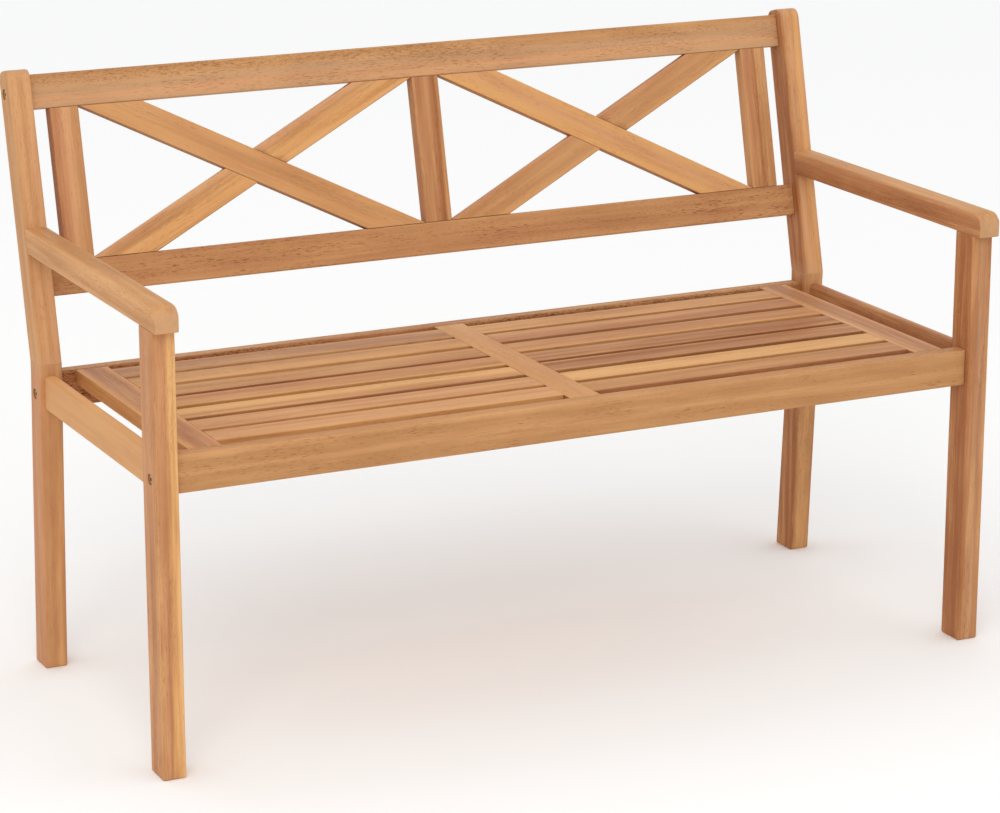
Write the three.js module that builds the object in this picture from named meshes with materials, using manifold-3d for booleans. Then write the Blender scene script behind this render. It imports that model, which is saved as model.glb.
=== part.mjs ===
// Garden bench of oiled hardwood, 1200 mm wide, built from separate timber parts.
// Units are millimetres.  X runs along the bench, Y to the back, Z up.
// Origin: on the floor, under the middle of the bench's bounding box.
import * as THREE from "three";
import { mergeVertices } from "three/addons/utils/BufferGeometryUtils.js";
import Module from "manifold-3d";

// ---- overall ----
const BENCH_WIDTH = 1200;
const SEAT_TOP = 414;
const FIT_GAP = 0.3; // play left at every joint
const HALF = BENCH_WIDTH / 2;

// ---- legs, posts and armrests ----
const LEG_WIDTH = 31;
const LEG_DEPTH = 43;
const ARM_TOP = 605;
const ARM_THICKNESS = 32;
const ARM_OVERHANG = 15; // past the front leg
const ARM_NOSE_RADIUS = 17;
const LEG_EDGE_RADIUS = 4.5;
const POST_FOOT_FRONT = 449.2; // front face of the rear foot at the floor
const POST_FOOT_DEPTH = 42.3;
const POST_KNEE_FRONT = 426;
const POST_KNEE_HEIGHT = 430;
const POST_DEPTH = 40; // across the raked upper part
const POST_LENGTH_ABOVE_KNEE = 388;
const POST_TOP_RADIUS = 15;
const BACK_RAKE = THREE.MathUtils.degToRad(13.3);

// ---- seat frame ----
const RAIL_THICKNESS = 22;
const RAIL_HEIGHT = 49;
const FRONT_RAIL_SETBACK = 9; // behind the legs' front faces
const REAR_RAIL_FRONT = 442;
const SIDE_RAIL_THICKNESS = 16;
const SIDE_RAIL_HEIGHT = 45;
const SIDE_RAIL_INSET = 6.5; // from the legs' outer faces
const RAIL_EDGE_RADIUS = 4;

// ---- seat ----
const BOARD_WIDTH = 44;
const BOARD_THICKNESS = 20;
const END_BOARD_OFFSET = 523; // bench middle to end board middle
const SLAT_WIDTH = 45;
const SLAT_THICKNESS = 20;
const SLAT_PITCH = 55.4;
const SLATS_PER_BAY = 7;
const BOARD_EDGE_RADIUS = 2.5;

// ---- back panel, measured from the knee up the rake and back from the posts' front ----
const PANEL_SETBACK = 13.5;
const TOP_RAIL_BOTTOM = 334.5;
const TOP_RAIL_HEIGHT = 46;
const LOWER_RAIL_BOTTOM = 88;
const LOWER_RAIL_HEIGHT = 45;
const STILE_WIDTH = 40;
const STILE_THICKNESS = 18;
const OUTER_STILE_OFFSET = 524; // bench middle to outer stile middle
const DIAGONAL_THICKNESS = 14;
const DIAGONAL_CUT = 89; // length of a diagonal's end cut along the rail

// ---- joinery ----
const SLAT_TENON = { length: 10, width: 32, thickness: 8 };
const BOARD_TENON = { length: 10, width: 30, thickness: 8 };
const SIDE_RAIL_TENON = { length: 16, width: 34, thickness: 8 };
const LOWER_RAIL_TENON = { length: 15, width: 32, thickness: 10 };
const STILE_TENON = { length: 15, width: 28, thickness: 8 };
const ARM_TENON = { length: 16, width: 20, thickness: 15 };
const KNEE_TENON = { length: 25, width: 18, thickness: 12 };

// ---- bolts and barrel nuts ----
const SEAT_BOLT_DROP = 4; // below the seat rails' middle
const SEAT_BOLT_FORWARD = 2; // ahead of the seat rails' middle
const BOLT_HEAD_DIAMETER = 11.5;
const BOLT_HEAD_HEIGHT = 5;
const BOLT_SHANK_DIAMETER = 6;
const BOLT_LENGTH = 70; // under the head
const HEX_SOCKET_RADIUS = 2.9;
const HEX_SOCKET_DEPTH = 3;
const COUNTERBORE_DIAMETER = 14;
const COUNTERBORE_DEPTH = 7;
const BARREL_NUT_DIAMETER = 10;
const BARREL_NUT_LENGTH = 14;
const BARREL_NUT_FROM_RAIL_END = 35;

// ---- mesh fineness ----
const EDGE_STEPS = 3;
const ROUND_STEPS = 8;
const BORE_SIDES = 24;

// ---- colours ----
const WOOD = {
  peach: { color: 0xc98f5f, roughness: 0.62, metalness: 0 },
  tan: { color: 0xb98955, roughness: 0.65, metalness: 0 },
  honey: { color: 0xd09a5c, roughness: 0.62, metalness: 0 },
  golden: { color: 0xdca765, roughness: 0.62, metalness: 0 },
  rose: { color: 0xb87f60, roughness: 0.65, metalness: 0 },
  mauve: { color: 0xa6785c, roughness: 0.66, metalness: 0 },
};
const STEEL = { color: 0x8d8a84, roughness: 0.42, metalness: 1 };

const LEG_INNER = HALF - LEG_WIDTH;
const FRONT_RAIL_BACK = FRONT_RAIL_SETBACK + RAIL_THICKNESS;
const FRONT_RAIL_MIDDLE = FRONT_RAIL_SETBACK + RAIL_THICKNESS / 2;
const REAR_RAIL_MIDDLE = REAR_RAIL_FRONT + RAIL_THICKNESS / 2;
const SEAT_MIDDLE = (FRONT_RAIL_BACK + REAR_RAIL_FRONT) / 2;

const wasm = await Module();
wasm.setup();

// Turns a three.js geometry into a manifold solid, or back.
function toSolid(geometry) {
  const bare = geometry.index ? geometry.toNonIndexed() : geometry.clone();
  for (const name of Object.keys(bare.attributes)) {
    if (name !== "position") bare.deleteAttribute(name);
  }
  const welded = mergeVertices(bare, 1e-4);
  const mesh = new wasm.Mesh({
    numProp: 3,
    vertProperties: new Float32Array(welded.attributes.position.array),
    triVerts: new Uint32Array(welded.index.array),
  });
  return new wasm.Manifold(mesh);
}

function toGeometry(solid) {
  const mesh = solid.getMesh();
  const geometry = new THREE.BufferGeometry();
  geometry.setAttribute("position", new THREE.BufferAttribute(new Float32Array(mesh.vertProperties), 3));
  geometry.setIndex(new THREE.BufferAttribute(new Uint32Array(mesh.triVerts), 1));
  const flat = geometry.toNonIndexed();
  flat.computeVertexNormals();
  return flat;
}

// Bases that lay an extrusion's own x, y, z along the bench's axes.
const X_AXIS = new THREE.Vector3(1, 0, 0);
const Y_AXIS = new THREE.Vector3(0, 1, 0);
const Z_AXIS = new THREE.Vector3(0, 0, 1);
const ALONG = {
  x: new THREE.Matrix4().makeBasis(Y_AXIS, Z_AXIS, X_AXIS),
  y: new THREE.Matrix4().makeBasis(Z_AXIS, X_AXIS, Y_AXIS),
  z: new THREE.Matrix4(),
};
// A plate drawn in X and Z that is thick along Y.
const UPRIGHT = new THREE.Matrix4().makeBasis(X_AXIS, Z_AXIS, Y_AXIS.clone().negate());

function roundedRectangle(width, height, radius) {
  const shape = new THREE.Shape();
  const right = width / 2 - radius;
  const top = height / 2 - radius;
  shape.absarc(right, top, radius, 0, Math.PI / 2);
  shape.absarc(-right, top, radius, Math.PI / 2, Math.PI);
  shape.absarc(-right, -top, radius, Math.PI, Math.PI * 1.5);
  shape.absarc(right, -top, radius, Math.PI * 1.5, Math.PI * 2);
  return shape;
}

// A straight bar along one axis, its long edges rounded; size is [x, y, z], centre is [x, y, z].
function bar(axis, size, centre, radius) {
  const [x, y, z] = size;
  const section = { x: [y, z, x], y: [z, x, y], z: [x, y, z] }[axis];
  const shape = roundedRectangle(section[0], section[1], radius);
  const geometry = new THREE.ExtrudeGeometry(shape, {
    depth: section[2],
    bevelEnabled: false,
    curveSegments: EDGE_STEPS,
  });
  geometry.translate(0, 0, -section[2] / 2);
  geometry.applyMatrix4(ALONG[axis]);
  geometry.translate(...centre);
  return toSolid(geometry);
}

function block(size, centre) {
  const geometry = new THREE.BoxGeometry(...size);
  geometry.translate(...centre);
  return toSolid(geometry);
}

// A solid cut from an outline, with its two faces' edges rounded over.
function plate(shape, thickness, edgeRadius, basis, origin) {
  const geometry = new THREE.ExtrudeGeometry(shape, {
    depth: thickness - 2 * edgeRadius,
    bevelEnabled: true,
    bevelThickness: edgeRadius,
    bevelSize: edgeRadius,
    bevelOffset: -edgeRadius,
    bevelSegments: EDGE_STEPS - 1,
    curveSegments: ROUND_STEPS,
  });
  geometry.translate(0, 0, edgeRadius);
  geometry.applyMatrix4(basis);
  geometry.translate(...origin);
  return toSolid(geometry);
}

function cylinder(axis, diameter, length, centre, sides = BORE_SIDES) {
  const geometry = new THREE.CylinderGeometry(diameter / 2, diameter / 2, length, sides);
  if (axis === "x") geometry.rotateZ(Math.PI / 2);
  if (axis === "z") geometry.rotateX(Math.PI / 2);
  geometry.translate(...centre);
  return toSolid(geometry);
}

// A tenon and the mortise that takes it; size is [x, y, z] and the tenon grows out of the joint face.
function tenon(size, centre) {
  return block(size, centre);
}

function mortise(size, centre) {
  return block(size.map((side) => side + 2 * FIT_GAP), centre);
}

// Leans a solid drawn upright behind the posts' front plane back by the rake, about the knee.
function lean(solid) {
  const degrees = THREE.MathUtils.radToDeg(BACK_RAKE);
  return solid.rotate([-degrees, 0, 0]).translate([0, POST_KNEE_FRONT, POST_KNEE_HEIGHT]);
}

const bench = new THREE.Group();
bench.name = "garden_bench";

function addPart(name, solid, finish) {
  const material = new THREE.MeshStandardMaterial(finish);
  const mesh = new THREE.Mesh(toGeometry(solid), material);
  mesh.name = name;
  bench.add(mesh);
}

// Every bolt lies along X, through a leg or post into the end of a rail.
const RAIL_MIDDLE_HEIGHT = SEAT_TOP - RAIL_HEIGHT / 2;
const SEAT_BOLT_HEIGHT = RAIL_MIDDLE_HEIGHT - SEAT_BOLT_DROP;
const TOP_RAIL_MIDDLE = TOP_RAIL_BOTTOM + TOP_RAIL_HEIGHT / 2;
const PANEL_RAIL_MIDDLE = PANEL_SETBACK + RAIL_THICKNESS / 2;
const straight = (solid) => solid;
const BOLTS = {
  front_rail: { y: FRONT_RAIL_MIDDLE - SEAT_BOLT_FORWARD, z: SEAT_BOLT_HEIGHT, place: straight },
  rear_rail: { y: REAR_RAIL_MIDDLE - SEAT_BOLT_FORWARD, z: SEAT_BOLT_HEIGHT, place: straight },
  top_rail: { y: PANEL_RAIL_MIDDLE, z: TOP_RAIL_MIDDLE, place: lean },
};
const SIDES = { left: -1, right: 1 };

function boltHole(rail, side) {
  const { y, z, place } = BOLTS[rail];
  const through = cylinder("x", BOLT_SHANK_DIAMETER + 1, LEG_WIDTH * 2, [side * HALF, y, z]);
  const bore = cylinder("x", COUNTERBORE_DIAMETER, COUNTERBORE_DEPTH * 2, [side * HALF, y, z]);
  return place(through.add(bore));
}

function barrelNutX(side) {
  return side * (LEG_INNER - BARREL_NUT_FROM_RAIL_END);
}

function railEndBores(rail, side) {
  const { y, z, place } = BOLTS[rail];
  const boltEnd = HALF - COUNTERBORE_DEPTH - BOLT_LENGTH;
  const length = LEG_INNER - boltEnd + 3;
  const boltBore = cylinder("x", BOLT_SHANK_DIAMETER + 1, length, [side * (LEG_INNER - length / 2 + 1), y, z]);
  const reach = RAIL_THICKNESS + SEAT_BOLT_FORWARD;
  const nutMiddle = y - BARREL_NUT_LENGTH / 2 - FIT_GAP + reach / 2;
  const nutBore = cylinder("y", BARREL_NUT_DIAMETER + 2 * FIT_GAP, reach, [barrelNutX(side), nutMiddle, z]);
  return place(boltBore.add(nutBore));
}

function bolt(rail, side) {
  const { y, z, place } = BOLTS[rail];
  const head = BOLT_HEAD_DIAMETER / 2;
  const shank = BOLT_SHANK_DIAMETER / 2;
  const profile = [
    [0, 0],
    [shank - 0.6, 0],
    [shank, 1],
    [shank, BOLT_LENGTH],
    [head, BOLT_LENGTH],
    [head, BOLT_LENGTH + BOLT_HEAD_HEIGHT - 1],
    [head - 1, BOLT_LENGTH + BOLT_HEAD_HEIGHT],
    [0, BOLT_LENGTH + BOLT_HEAD_HEIGHT],
  ].map(([r, h]) => new THREE.Vector2(r, h));
  const geometry = new THREE.LatheGeometry(profile, BORE_SIDES);
  const socket = new THREE.CylinderGeometry(HEX_SOCKET_RADIUS, HEX_SOCKET_RADIUS, HEX_SOCKET_DEPTH * 2, 6);
  socket.translate(0, BOLT_LENGTH + BOLT_HEAD_HEIGHT, 0);
  const upright = toSolid(geometry).subtract(toSolid(socket));
  const lying = upright.rotate([0, 0, side * -90]);
  // The head's underside rests on the counterbore's floor.
  const tip = HALF - COUNTERBORE_DEPTH + FIT_GAP - BOLT_LENGTH;
  return place(lying.translate([side * tip, y, z]));
}

function barrelNut(rail, side) {
  const { y, z, place } = BOLTS[rail];
  const body = cylinder("y", BARREL_NUT_DIAMETER, BARREL_NUT_LENGTH, [barrelNutX(side), y, z]);
  const thread = cylinder(
    "x",
    BOLT_SHANK_DIAMETER + 2 * FIT_GAP,
    BARREL_NUT_DIAMETER * 2,
    [barrelNutX(side), y, z],
  );
  return place(body.subtract(thread));
}

// The posts' front face at a given height.
function postFront(height) {
  if (height >= POST_KNEE_HEIGHT) {
    return POST_KNEE_FRONT + (height - POST_KNEE_HEIGHT) * Math.tan(BACK_RAKE);
  }
  const drop = (POST_KNEE_HEIGHT - height) / POST_KNEE_HEIGHT;
  return POST_KNEE_FRONT + drop * (POST_FOOT_FRONT - POST_KNEE_FRONT);
}

// ---- front legs ----
const LEG_TOP = ARM_TOP - ARM_THICKNESS;
const SIDE_RAIL_MIDDLE_X = HALF - SIDE_RAIL_INSET - SIDE_RAIL_THICKNESS / 2;
const SIDE_RAIL_MIDDLE_Z = SEAT_TOP - SIDE_RAIL_HEIGHT / 2;
const sideRailTenonSize = [SIDE_RAIL_TENON.thickness, SIDE_RAIL_TENON.length * 2, SIDE_RAIL_TENON.width];
const armTenonSize = [ARM_TENON.thickness, ARM_TENON.width, ARM_TENON.length * 2];
const armRearTenonSize = [ARM_TENON.thickness, ARM_TENON.length * 2, ARM_TENON.width];
const legMiddle = (side) => side * (HALF - LEG_WIDTH / 2);
const sideRailFrontJoint = (side) => [side * SIDE_RAIL_MIDDLE_X, LEG_DEPTH, SIDE_RAIL_MIDDLE_Z];
const sideRailRearJoint = (side) => [
  side * SIDE_RAIL_MIDDLE_X,
  postFront(SIDE_RAIL_MIDDLE_Z),
  SIDE_RAIL_MIDDLE_Z,
];
const armFrontJoint = (side) => [legMiddle(side), LEG_DEPTH / 2, LEG_TOP];
const ARM_MIDDLE_HEIGHT = ARM_TOP - ARM_THICKNESS / 2;
const armRearJoint = (side) => [legMiddle(side), postFront(ARM_MIDDLE_HEIGHT), ARM_MIDDLE_HEIGHT];

for (const [sideName, side] of Object.entries(SIDES)) {
  const height = LEG_TOP - FIT_GAP;
  const shaft = bar("z", [LEG_WIDTH, LEG_DEPTH, height], [legMiddle(side), LEG_DEPTH / 2, height / 2], LEG_EDGE_RADIUS);
  const solid = shaft
    .add(tenon(armTenonSize, armFrontJoint(side)))
    .subtract(mortise(sideRailTenonSize, sideRailFrontJoint(side)))
    .subtract(boltHole("front_rail", side));
  addPart(`front_leg_${sideName}`, solid, WOOD.peach);
}

// ---- rear legs and back posts: two timbers glued end to end at the knee ----
function postOutline() {
  const sin = Math.sin(BACK_RAKE);
  const cos = Math.cos(BACK_RAKE);
  const raked = (up, back) => [
    POST_KNEE_FRONT + up * sin + back * cos,
    POST_KNEE_HEIGHT + up * cos - back * sin,
  ];
  const footBack = POST_FOOT_FRONT + POST_FOOT_DEPTH;
  const backKnee = raked(POST_DEPTH * Math.tan(BACK_RAKE / 2), POST_DEPTH);
  const top = POST_LENGTH_ABOVE_KNEE;
  const shape = new THREE.Shape();
  shape.moveTo(POST_FOOT_FRONT, 0);
  shape.lineTo(footBack, 0);
  shape.lineTo(...backKnee);
  shape.lineTo(...raked(top - POST_TOP_RADIUS, POST_DEPTH));
  shape.quadraticCurveTo(...raked(top, POST_DEPTH), ...raked(top, POST_DEPTH - POST_TOP_RADIUS));
  shape.lineTo(...raked(top, POST_TOP_RADIUS));
  shape.quadraticCurveTo(...raked(top, 0), ...raked(top - POST_TOP_RADIUS, 0));
  shape.lineTo(POST_KNEE_FRONT, POST_KNEE_HEIGHT);
  shape.closePath();
  return shape;
}

const lowerRailJoint = (side) => [
  side * LEG_INNER,
  PANEL_RAIL_MIDDLE,
  LOWER_RAIL_BOTTOM + LOWER_RAIL_HEIGHT / 2,
];
const lowerRailTenonSize = [LOWER_RAIL_TENON.length * 2, LOWER_RAIL_TENON.thickness, LOWER_RAIL_TENON.width];

const kneeJoint = (side) => [legMiddle(side), POST_KNEE_FRONT + POST_DEPTH * 0.55, POST_KNEE_HEIGHT];
const kneeTenonSize = [KNEE_TENON.thickness, KNEE_TENON.width, KNEE_TENON.length * 2];
const kneeCut = (upOrDown) => {
  const middle = POST_KNEE_HEIGHT + (upOrDown * (BENCH_WIDTH + FIT_GAP)) / 2;
  return block([BENCH_WIDTH * 2, BENCH_WIDTH, BENCH_WIDTH], [0, POST_KNEE_FRONT, middle]);
};

for (const [sideName, side] of Object.entries(SIDES)) {
  const innerX = side > 0 ? LEG_INNER : -HALF;
  const blank = plate(postOutline(), LEG_WIDTH, LEG_EDGE_RADIUS, ALONG.x, [innerX, 0, 0]);
  const leg = blank
    .intersect(kneeCut(-1))
    .add(tenon(kneeTenonSize, kneeJoint(side)))
    .subtract(mortise(sideRailTenonSize, sideRailRearJoint(side)))
    .subtract(boltHole("rear_rail", side));
  const post = blank
    .intersect(kneeCut(1))
    .subtract(mortise(kneeTenonSize, kneeJoint(side)))
    .subtract(mortise(armRearTenonSize, armRearJoint(side)))
    .subtract(lean(mortise(lowerRailTenonSize, lowerRailJoint(side))))
    .subtract(boltHole("top_rail", side));
  addPart(`rear_leg_${sideName}`, leg, WOOD.peach);
  addPart(`back_post_${sideName}`, post, WOOD.peach);
}

// ---- armrests ----
function armOutline() {
  const rear = (height) => postFront(height) - FIT_GAP;
  const nose = -ARM_OVERHANG;
  const under = LEG_TOP;
  const shape = new THREE.Shape();
  shape.moveTo(nose, under);
  shape.lineTo(rear(under), under);
  shape.lineTo(rear(ARM_TOP), ARM_TOP);
  shape.lineTo(nose + ARM_NOSE_RADIUS, ARM_TOP);
  shape.quadraticCurveTo(nose, ARM_TOP, nose, ARM_TOP - ARM_NOSE_RADIUS);
  shape.closePath();
  return shape;
}

for (const [sideName, side] of Object.entries(SIDES)) {
  const innerX = side > 0 ? LEG_INNER : -HALF;
  const solid = plate(armOutline(), LEG_WIDTH, LEG_EDGE_RADIUS, ALONG.x, [innerX, 0, 0])
    .add(tenon(armRearTenonSize, armRearJoint(side)))
    .subtract(mortise(armTenonSize, armFrontJoint(side)));
  addPart(`armrest_${sideName}`, solid, WOOD.honey);
}

// ---- seat rails ----
const railLength = 2 * (LEG_INNER - FIT_GAP);
const railSize = [railLength, RAIL_THICKNESS, RAIL_HEIGHT];
const BOARD_MIDDLE_HEIGHT = SEAT_TOP - BOARD_THICKNESS / 2;
const BOARD_OFFSETS = { left: -END_BOARD_OFFSET, centre: 0, right: END_BOARD_OFFSET };
const boardTenonSize = [BOARD_TENON.width, BOARD_TENON.length * 2, BOARD_TENON.thickness];

function seatRail(name, middle, jointFace) {
  let solid = bar("x", railSize, [0, middle, RAIL_MIDDLE_HEIGHT], RAIL_EDGE_RADIUS);
  for (const offset of Object.values(BOARD_OFFSETS)) {
    solid = solid.subtract(mortise(boardTenonSize, [offset, jointFace, BOARD_MIDDLE_HEIGHT]));
  }
  for (const side of Object.values(SIDES)) {
    solid = solid.subtract(railEndBores(name, side));
  }
  return solid;
}

addPart("front_rail", seatRail("front_rail", FRONT_RAIL_MIDDLE, FRONT_RAIL_BACK), WOOD.tan);
addPart("rear_rail", seatRail("rear_rail", REAR_RAIL_MIDDLE, REAR_RAIL_FRONT), WOOD.tan);

for (const [sideName, side] of Object.entries(SIDES)) {
  const front = LEG_DEPTH + FIT_GAP;
  const rear = postFront(SEAT_TOP) - FIT_GAP;
  const size = [SIDE_RAIL_THICKNESS, rear - front, SIDE_RAIL_HEIGHT];
  const centre = [side * SIDE_RAIL_MIDDLE_X, (front + rear) / 2, SIDE_RAIL_MIDDLE_Z];
  const solid = bar("y", size, centre, RAIL_EDGE_RADIUS)
    .add(tenon(sideRailTenonSize, sideRailFrontJoint(side)))
    .add(tenon(sideRailTenonSize, sideRailRearJoint(side)));
  addPart(`side_rail_${sideName}`, solid, WOOD.honey);
}

// ---- seat boards, front to back ----
const slatMiddle = (index) => SEAT_MIDDLE + (index - (SLATS_PER_BAY - 1) / 2) * SLAT_PITCH;
const SLAT_MIDDLE_HEIGHT = SEAT_TOP - SLAT_THICKNESS / 2;
const slatTenonSize = [SLAT_TENON.length * 2, SLAT_TENON.width, SLAT_TENON.thickness];

for (const [name, offset] of Object.entries(BOARD_OFFSETS)) {
  const length = REAR_RAIL_FRONT - FRONT_RAIL_BACK - 2 * FIT_GAP;
  const size = [BOARD_WIDTH, length, BOARD_THICKNESS];
  let solid = bar("y", size, [offset, SEAT_MIDDLE, BOARD_MIDDLE_HEIGHT], BOARD_EDGE_RADIUS)
    .add(tenon(boardTenonSize, [offset, FRONT_RAIL_BACK, BOARD_MIDDLE_HEIGHT]))
    .add(tenon(boardTenonSize, [offset, REAR_RAIL_FRONT, BOARD_MIDDLE_HEIGHT]));
  const jointSides = { left: [1], centre: [-1, 1], right: [-1] }[name];
  for (const jointSide of jointSides) {
    for (let index = 0; index < SLATS_PER_BAY; index += 1) {
      const joint = [offset + (jointSide * BOARD_WIDTH) / 2, slatMiddle(index), SLAT_MIDDLE_HEIGHT];
      solid = solid.subtract(mortise(slatTenonSize, joint));
    }
  }
  addPart(`seat_board_${name}`, solid, name === "right" ? WOOD.rose : WOOD.honey);
}

// ---- seat slats ----
const SLAT_FINISHES = {
  left: ["peach", "peach", "golden", "peach", "honey", "honey", "rose"],
  right: ["rose", "golden", "mauve", "mauve", "rose", "rose", "honey"],
};
const BAY_INNER = BOARD_WIDTH / 2 + FIT_GAP;
const BAY_OUTER = END_BOARD_OFFSET - BOARD_WIDTH / 2 - FIT_GAP;

for (const [sideName, side] of Object.entries(SIDES)) {
  for (let index = 0; index < SLATS_PER_BAY; index += 1) {
    const y = slatMiddle(index);
    const centre = [(side * (BAY_INNER + BAY_OUTER)) / 2, y, SLAT_MIDDLE_HEIGHT];
    const size = [BAY_OUTER - BAY_INNER, SLAT_WIDTH, SLAT_THICKNESS];
    let solid = bar("x", size, centre, BOARD_EDGE_RADIUS);
    for (const end of [BAY_INNER, BAY_OUTER]) {
      solid = solid.add(tenon(slatTenonSize, [side * end, y, SLAT_MIDDLE_HEIGHT]));
    }
    addPart(`seat_slat_${sideName}_${index + 1}`, solid, WOOD[SLAT_FINISHES[sideName][index]]);
  }
}

// ---- back panel, drawn upright and then leaned ----
const STILE_OFFSETS = { left: -OUTER_STILE_OFFSET, centre: 0, right: OUTER_STILE_OFFSET };
const STILE_MIDDLE = PANEL_SETBACK + STILE_THICKNESS / 2;
const DIAGONAL_MIDDLE = PANEL_SETBACK + DIAGONAL_THICKNESS / 2;
const PANEL_BOTTOM = LOWER_RAIL_BOTTOM + LOWER_RAIL_HEIGHT;
const PANEL_TOP = TOP_RAIL_BOTTOM;
const stileTenonSize = [STILE_TENON.width, STILE_TENON.thickness, STILE_TENON.length * 2];

function panelRail(bottom, height, mortiseHeight) {
  const size = [railLength, RAIL_THICKNESS, height];
  let solid = bar("x", size, [0, PANEL_RAIL_MIDDLE, bottom + height / 2], RAIL_EDGE_RADIUS);
  for (const offset of Object.values(STILE_OFFSETS)) {
    solid = solid.subtract(mortise(stileTenonSize, [offset, STILE_MIDDLE, mortiseHeight]));
  }
  return solid;
}

let topRail = lean(panelRail(TOP_RAIL_BOTTOM, TOP_RAIL_HEIGHT, PANEL_TOP));
let lowerRail = panelRail(LOWER_RAIL_BOTTOM, LOWER_RAIL_HEIGHT, PANEL_BOTTOM);
for (const side of Object.values(SIDES)) {
  topRail = topRail.subtract(railEndBores("top_rail", side));
  lowerRail = lowerRail.add(tenon(lowerRailTenonSize, lowerRailJoint(side)));
}
addPart("back_top_rail", topRail, WOOD.tan);
addPart("back_lower_rail", lean(lowerRail), WOOD.tan);

for (const [name, offset] of Object.entries(STILE_OFFSETS)) {
  const height = PANEL_TOP - PANEL_BOTTOM - 2 * FIT_GAP;
  const size = [STILE_WIDTH, STILE_THICKNESS, height];
  const middle = (PANEL_TOP + PANEL_BOTTOM) / 2;
  const solid = bar("z", size, [offset, STILE_MIDDLE, middle], BOARD_EDGE_RADIUS)
    .add(tenon(stileTenonSize, [offset, STILE_MIDDLE, PANEL_BOTTOM]))
    .add(tenon(stileTenonSize, [offset, STILE_MIDDLE, PANEL_TOP]));
  addPart(`back_stile_${name}`, lean(solid), WOOD.rose);
}

// ---- back diagonals: two per bay, half lapped where they cross ----
const PANEL_BAY = { inner: STILE_WIDTH / 2 + FIT_GAP, outer: OUTER_STILE_OFFSET - STILE_WIDTH / 2 - FIT_GAP };

// fall is 1 for a diagonal that falls to the right and -1 for one that rises; grow widens it.
function diagonalOutline(left, right, fall, grow) {
  const bottom = PANEL_BOTTOM + FIT_GAP;
  const top = PANEL_TOP - FIT_GAP;
  const [topLeft, bottomLeft] = fall > 0 ? [left, right - DIAGONAL_CUT] : [right - DIAGONAL_CUT, left];
  const shape = new THREE.Shape();
  shape.moveTo(bottomLeft - grow, bottom);
  shape.lineTo(bottomLeft + DIAGONAL_CUT + grow, bottom);
  shape.lineTo(topLeft + DIAGONAL_CUT + grow, top);
  shape.lineTo(topLeft - grow, top);
  shape.closePath();
  return shape;
}

for (const [bayName, side] of Object.entries(SIDES)) {
  const left = side > 0 ? PANEL_BAY.inner : -PANEL_BAY.outer;
  const right = side > 0 ? PANEL_BAY.outer : -PANEL_BAY.inner;
  const bay = [(left + right) / 2, DIAGONAL_MIDDLE, (PANEL_BOTTOM + PANEL_TOP) / 2];
  const backFace = PANEL_SETBACK + DIAGONAL_THICKNESS;
  const diagonal = (fall) =>
    plate(diagonalOutline(left, right, fall, 0), DIAGONAL_THICKNESS, BOARD_EDGE_RADIUS, UPRIGHT, [0, backFace, 0]);
  const notch = (fall, half) => {
    const wide = new THREE.ExtrudeGeometry(diagonalOutline(left, right, fall, 2 * FIT_GAP), {
      depth: DIAGONAL_THICKNESS * 2,
      bevelEnabled: false,
    });
    wide.applyMatrix4(UPRIGHT);
    wide.translate(0, backFace + DIAGONAL_THICKNESS / 2, 0);
    const middle = bay[1] + half * (DIAGONAL_THICKNESS / 2 - FIT_GAP / 2);
    const slab = block([right - left, DIAGONAL_THICKNESS, PANEL_TOP - PANEL_BOTTOM], [bay[0], middle, bay[2]]);
    return toSolid(wide).intersect(slab);
  };
  const falling = diagonal(1).subtract(notch(-1, 1));
  const rising = diagonal(-1).subtract(notch(1, -1));
  addPart(`back_diagonal_front_${bayName}`, lean(falling), WOOD.honey);
  addPart(`back_diagonal_rear_${bayName}`, lean(rising), WOOD.peach);
}

// ---- bolts and barrel nuts ----
for (const rail of Object.keys(BOLTS)) {
  for (const [sideName, side] of Object.entries(SIDES)) {
    addPart(`bolt_${rail}_${sideName}`, bolt(rail, side), STEEL);
    addPart(`barrel_nut_${rail}_${sideName}`, barrelNut(rail, side), STEEL);
  }
}

// Y has been counted from the legs' front faces so far; bring the origin under the bench's middle.
const middle = new THREE.Box3().setFromObject(bench).getCenter(new THREE.Vector3());
for (const mesh of bench.children) {
  mesh.geometry.translate(-middle.x, -middle.y, 0);
}

export default bench;
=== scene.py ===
# Garden bench of oiled hardwood: every timber is rebuilt with rounded, slightly uneven edges
# and a procedural grain that follows the piece it is on; the hardware keeps its CAD meshes.
# Units are metres, in the CAD model's frame.
import math

import bmesh
import bpy
from mathutils import Matrix, Vector, noise


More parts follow.
